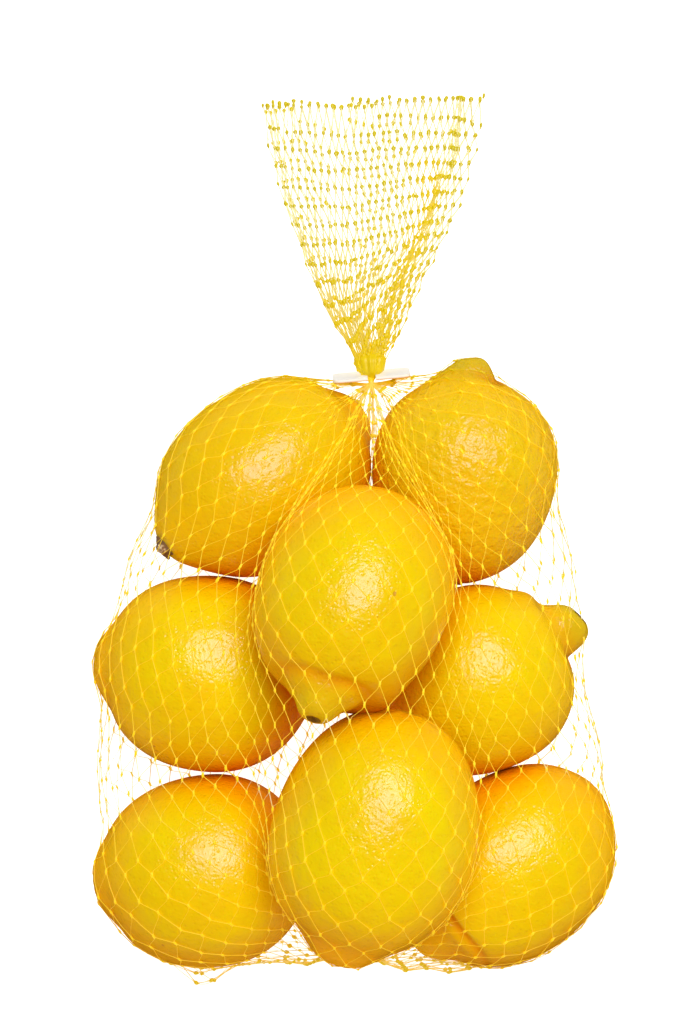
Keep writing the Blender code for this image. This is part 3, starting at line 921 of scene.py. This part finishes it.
WEDGE = (0.40, 1.0, 0.92, 0.55, 0.15)  # and of a slack one, where two strands come in side by side
FOLD_LINE = (51.0, 99.0), (10.6, 28.1)  # heights and places of the fold in the tail


def over_fruit(points):
    """1 over a lemon, where the yarn is painted with the lemon's yellow light through it, 0 over the bare
    table.
    """
    nearest = np.full(len(points), FAR_OFF)
    for name in LEMONS:
        for drop in np.arange(0.0, 61.0, 6.0):
            nearest = np.minimum(nearest, height_over(points - [0, 0, drop], name))
    return np.clip(1.2 - nearest / 1.5, 0, 1)


def at_foot(points):
    """0 to 1: how far a point is in the gather at the net's foot."""
    return np.clip((-points[:, 1] - 130.0) / 6.0, 0, 1) * np.clip((34.0 - points[:, 2]) / 10.0, 0, 1)


def gathered(points):
    """0 to 1: how tightly the net is drawn together, where its yarn looks deeper."""
    x, y, _z = points.T
    tail = np.clip((92.0 - y) / 44.0, 0, 1) * (y > NECK[1])
    fold = 0.85 * np.exp(-(((x - np.interp(y, *FOLD_LINE)) / 4.0) ** 2)) * ((y > NECK[1]) & (y < 112.0))
    body = 0.6 * np.clip(1.25 - np.linalg.norm(points - NECK, axis=1) / 18.0, 0, 1)
    return np.maximum.reduce([tail, fold, body, 0.35 * at_foot(points)])


def behind_clip(points):
    """0 to 1: how strong a strand's painted glow is, for light through the clip, or from its neighbours at
    the foot.
    """
    x, y, _z = points.T
    near = np.clip(1 - (41.0 - y) / 9.0, 0, 1) * np.clip((15.0 - np.abs(x - NECK[0])) / 4.0, 0, 1)
    return np.maximum(near * (y < 41.5), 0.7 * at_foot(points))


def knot_axes(knots):
    """For a grid of knots: the net's length direction and the outward normal at each."""
    ahead = np.concatenate([knots[2:3], knots[2:], knots[-1:]])
    behind = np.concatenate([knots[:1], knots[:-2], knots[-3:-2]])
    along = unit(ahead - behind)
    round_net = np.roll(knots, -1, axis=1) - np.roll(knots, 1, axis=1)
    return along.reshape(-1, 3), unit(np.cross(along, round_net)).reshape(-1, 3)


def tubes(paths, radii, normals):
    """Thin tubes along paths (strands, steps, 3): all vertices and faces at once."""
    count, steps = paths.shape[:2]
    tangent = unit(np.gradient(paths, axis=1))
    side = unit(np.cross(tangent, normals[:, None, :]))
    lift = np.cross(side, tangent)
    turn = turns(STRAND_SIDES)
    ring = np.cos(turn)[:, None] * side[:, :, None, :] + np.sin(turn)[:, None] * lift[:, :, None, :]
    vertices = paths[:, :, None, :] + ring * radii[:, :, None, None]
    faces = grid_faces(steps, STRAND_SIDES)
    offsets = np.arange(count) * steps * STRAND_SIDES
    return vertices.reshape(-1, 3), (faces[None] + offsets[:, None, None]).reshape(-1, 4)


def repeated(looks, count):
    return {key: np.repeat(values, count) for key, values in looks.items()}


def strands(knots, along, normal, groups, chosen, seed, body):
    """Tubes from every chosen knot down to the next ones: vertices, faces and looks."""
    a = np.concatenate([upper for upper, _, _ in groups])
    b = np.concatenate([lower for _, lower, _ in groups])
    taut = np.concatenate([np.full(len(upper), pulled) for upper, _, pulled in groups])
    kept = chosen[a]
    a, b, taut = a[kept], b[kept], taut[kept]
    start, end = knots[a], knots[b]
    long = np.linalg.norm(end - start, axis=1, keepdims=True)
    lead = np.minimum(np.where(taut, TAUT_LEAD, SLACK_LEAD)[:, None], 0.4 * long)
    s = STRAND_STEPS[None, :, None]
    p0, p3 = start[:, None], end[:, None]
    p1, p2 = (start + along[a] * lead)[:, None], (end - along[b] * lead)[:, None]
    paths = (1 - s) ** 3 * p0 + 3 * (1 - s) ** 2 * s * p1 + 3 * (1 - s) * s**2 * p2 + s**3 * p3
    chance = np.random.default_rng(seed)
    thick = chance.uniform(0.85, 1.15, (len(a), 1)) * np.where(taut, TAUT_THICK, SLACK_THICK)[:, None]
    flat_paths = paths.reshape(-1, 3)
    if body:
        hold_off_peel(flat_paths, STRAND_OVER_PEEL)
    else:
        thick *= 1 + (TAIL_STRAND - 1) * (1 - gathered(start))[:, None]
    flat_paths[:, 2] = np.maximum(flat_paths[:, 2], STRAND_CLEARANCE)
    looks = {
        "over_fruit": over_fruit(flat_paths),
        "gathered": gathered(flat_paths),
        "behind_clip": behind_clip(flat_paths),
    }
    paths = flat_paths.reshape(paths.shape)
    vertices, faces = tubes(paths, STRAND_RADII[None] * thick, unit(normal[a] + normal[b]))
    return vertices, faces, repeated(looks, STRAND_SIDES)


def knot_shape(widths):
    """A knot's unit shape, lengthwise."""
    h, t = np.meshgrid(KNOT_HEIGHTS, turns(KNOT_SIDES), indexing="ij")
    w = np.repeat(np.array(widths)[:, None], KNOT_SIDES, 1)
    points = np.stack([w * np.cos(t), w * np.sin(t), h], -1).reshape(-1, 3)
    return points, grid_faces(len(KNOT_HEIGHTS), KNOT_SIDES)


def knot_meshes(knots, along, normal, chosen, half_sizes, widths, seed):
    """A small body at every chosen knot: vertices, faces and looks."""
    shape, faces = knot_shape(widths)
    centre, along, normal = knots[chosen], along[chosen], normal[chosen]
    side = unit(np.cross(along, normal))
    chance = np.random.default_rng(seed)
    size = chance.uniform(0.8, 1.2, (len(centre), 3)) * half_sizes
    looks = {"over_fruit": over_fruit(centre), "gathered": gathered(centre)}
    size *= (FREE_KNOT + (1 - FREE_KNOT) * looks["over_fruit"])[:, None]
    size[:, :2] *= (1 + FOOT_KNOT * at_foot(centre))[:, None]
    local = shape[None] * size[:, None]
    vertices = centre[:, None] + local[..., :1] * side[:, None]
    vertices = vertices + local[..., 1:2] * normal[:, None] + local[..., 2:] * along[:, None]
    faces = faces[None] + (np.arange(len(centre)) * len(shape))[:, None, None]
    return vertices.reshape(-1, 3), faces.reshape(-1, 4), repeated(looks, len(shape))


BUNCH_SPOKES, BUNCH_SEED, BUNCH_TOP = 72, 9, 50.5
BUNCH_HEIGHTS = np.concatenate([[41.9, 42.2, 42.5, 42.9], np.linspace(43.4, BUNCH_TOP, 15)])


def neck_bunch(material):
    """The tight bunch of net just above the clip, with its folds running lengthwise."""
    turn = turns(BUNCH_SPOKES)
    chance = np.random.default_rng(BUNCH_SEED)
    folds = sum(0.045 * np.cos(k * turn + chance.uniform(0, 6)) for k in (5, 8, 13, 17))
    points = []
    for y in BUNCH_HEIGHTS:
        half_width, half_depth, x = tail_section(y)
        fullness = 0.97 + 0.13 * np.clip((y - 42.5) / 1.5, 0, 1)
        fade = np.clip((BUNCH_TOP - y) / 3.2, 0.02, 1) ** 0.5
        r = (1 + folds * np.clip((y - 42.0) / 3, 0, 1)) * fullness * fade
        z = NECK[2] + half_depth * r * np.sin(turn)
        points.append(np.stack([x + half_width * r * np.cos(turn), lean(y, z), z], 1))
    points = np.concatenate(points)
    faces = grid_faces(len(BUNCH_HEIGHTS), BUNCH_SPOKES)
    return mesh_object("neck_bunch", points, faces, material, {"gathered": np.ones(len(points))})


def build_net(strand_look, knot_look):
    body = bundled(slackened(drawn_net()))
    tail, tail_there = tail_knots()
    grid = np.concatenate([tail, body])
    rows = len(grid)
    net = (grid.reshape(-1, 3), *knot_axes(grid))
    groups = strand_ends(rows)
    in_body = np.repeat(np.arange(rows) >= TAIL_ROWS, KNOTS_ROUND)
    in_tail = np.concatenate([tail_there.ravel(), np.zeros(body.size // 3, bool)])
    # the body's first row of knots is hidden in the neck, and its last in the gather at the foot
    inner = in_body.copy()
    inner[TAIL_ROWS * KNOTS_ROUND : (TAIL_ROWS + 1) * KNOTS_ROUND] = False
    inner[-KNOTS_ROUND:] = False

    *body_strands, body_looks = strands(*net, groups, in_body, seed=21, body=True)
    *tail_strands, tail_looks = strands(*net, groups, in_tail, seed=22, body=False)
    *body_knots, body_knot_looks = knot_meshes(*net, inner, BODY_KNOT, SPINDLE, seed=23)
    body_knot_looks["over_fruit"] = np.maximum(body_knot_looks["over_fruit"], LEAST_OVER_FRUIT)
    *tail_knot_mesh, tail_knot_looks = knot_meshes(*net, in_tail, TAIL_KNOT, WEDGE, seed=24)
    tail_knot_looks["dim"] = np.ones(len(tail_knot_mesh[0]))
    made = [
        mesh_object("net_strands", *body_strands, strand_look, body_looks),
        mesh_object("tail_strands", *tail_strands, strand_look, tail_looks),
        mesh_object("net_knots", *body_knots, knot_look, body_knot_looks),
        mesh_object("tail_knots", *tail_knot_mesh, knot_look, tail_knot_looks),
        neck_bunch(knot_look),
    ]
    for piece in made:
        piece.visible_shadow = False  # yarn this thin and milky throws next to no shadow
    return made


# ------ everything
peel_look = peel_material()
fruit_pieces = [lemon(name, peel_look) for name in LEMONS]
stem_piece = stem_ends(stem_material())
net_pieces = build_net(strand_material(), knot_material())

for piece in [*fruit_pieces, stem_piece, *net_pieces]:
    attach(piece, "root")
    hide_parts("lemon_net")

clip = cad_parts["neck_clip"]
clip_look = clip_material()
for holder in clip.material_slots:
    holder.link = "OBJECT"
    holder.material = clip_look


# ------ table, light, camera
TABLE_HALF = 3.0  # metres
CAMERA_HEIGHT, LENS, SENSOR = 905.0, 100.0, 36.0
SKY_STRENGTH = 0.24
LIGHTS_AIM, LIGHTS_AWAY = [0.0, -30.0, 30.0], 3.0  # millimetres, and metres
LIGHTS = (  # name, direction from the aim, size in metres, power, tint and whether it shows in gloss
    ("softbox", (0.13, 0.43, 0.89), 2.3, 102.0, (1.0, 1.0, 1.0), True),
    ("fill", (0.0, -0.85, 0.45), 2.0, 34.0, (1.0, 0.50, 0.10), False),
)


def white_table():
    mesh = bpy.data.meshes.new("table")
    x, y, z = place([0.0, -5.0, 0.0])
    corners = [(x + TABLE_HALF * i, y + TABLE_HALF * j, z) for i, j in ((-1, -1), (1, -1), (1, 1), (-1, 1))]
    mesh.from_pydata(corners, [], [(0, 1, 2, 3)])
    mesh.materials.append(table_material())
    made = add_object("table", mesh)
    made.visible_glossy = False  # the peel's gloss mirrors the dim room, not the bright table


def soft_light(name, direction, size, power, tint, glossy):
    data = bpy.data.lights.new(name, "AREA")
    data.shape = "DISK"
    data.size = size
    data.energy = power
    data.color = tint
    aim = Vector(place(LIGHTS_AIM))
    made = add_object(name, data)
    made.location = aim + Vector(direction).normalized() * LIGHTS_AWAY
    made.rotation_euler = (made.location - aim).to_track_quat("Z", "Y").to_euler()
    made.visible_glossy = glossy


def camera():
    data = bpy.data.cameras.new("camera")
    data.lens, data.sensor_width = LENS, SENSOR
    data.clip_end = 20.0
    made = add_object("camera", data)
    made.location = Vector(place([0.0, 0.0, CAMERA_HEIGHT]))
    bpy.context.scene.camera = made


def surroundings():
    world = bpy.data.worlds.new("studio")
    world.use_nodes = True
    background = world.node_tree.nodes["Background"]
    background.inputs["Color"].default_value = colour(1.0, 1.0, 1.0)
    background.inputs["Strength"].default_value = SKY_STRENGTH
    world.cycles_visibility.glossy = False  # only the softbox shows in the peel's gloss
    bpy.context.scene.world = world
    view = bpy.context.scene.view_settings
    view.view_transform, view.look, view.exposure = "Standard", "None", 0.0


white_table()
for light in LIGHTS:
    soft_light(*light)
camera()
surroundings()
